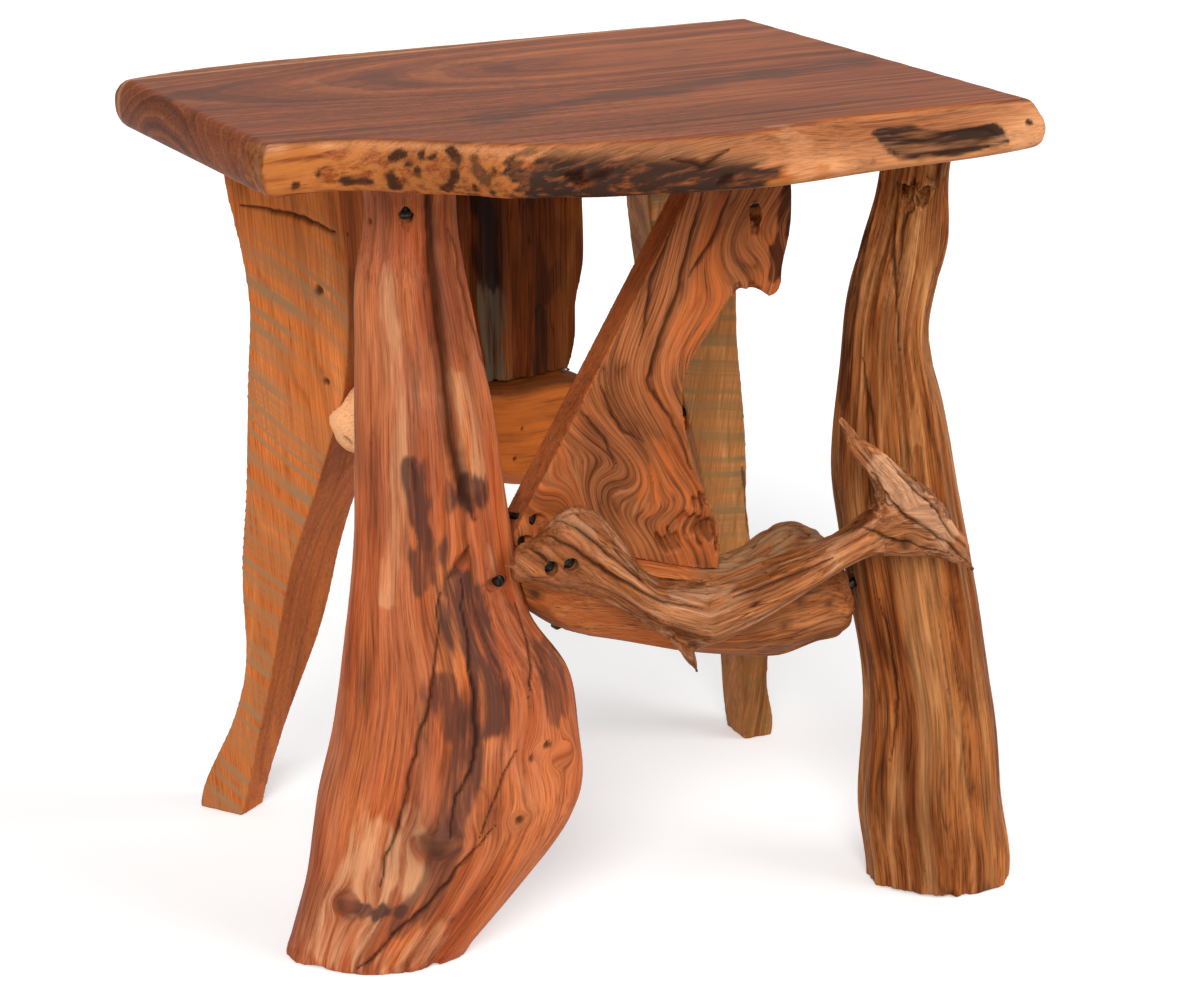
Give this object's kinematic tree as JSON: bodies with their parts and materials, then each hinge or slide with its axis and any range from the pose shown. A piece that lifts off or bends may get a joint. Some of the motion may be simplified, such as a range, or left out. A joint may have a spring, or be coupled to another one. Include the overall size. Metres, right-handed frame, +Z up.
{
  "type": "rustic log end table",
  "caption": "Rustic end table with a live-edge walnut-brown slab on log and sawn plank legs, tied by crooked log rails, a burl brace and a driftwood branch.",
  "frame": {"origin": "centre of the table's bounding box, on the floor", "axes": "+X along the slab's straight back edge, +Y from the live front edge to the back, +Z up"},
  "size_m": [0.6052, 0.5478, 0.64],
  "materials": {
    "satin_walnut": "satin",
    "root_log": "satin",
    "fluted_log": "satin",
    "sawn_plank": "rough sawn, lightly oiled",
    "rail_log": "sanded and oiled",
    "burl": "satin",
    "weathered_board": "weathered, oiled",
    "driftwood": "weathered, oiled",
    "black_steel": "matt black"
  },
  "bodies": {
    "root": {"top_slab": "satin_walnut", "front_left_leg": "root_log", "front_right_leg": "fluted_log", "back_left_leg": "sawn_plank", "back_right_leg": "sawn_plank", "front_log_rail": "rail_log", "rear_log_rail": "rail_log", "brace_slab": "burl", "rear_board": "weathered_board", "branch_rail": "driftwood", "leg_toe_screws": "black_steel", "brace_screws": "black_steel", "rear_board_screws": "black_steel", "branch_screws": "black_steel", "branch_lag": "black_steel", "front_rail_lags": "black_steel", "log_side_screw": "black_steel", "rear_rail_lags": "black_steel"}
  },
  "joints": []
}
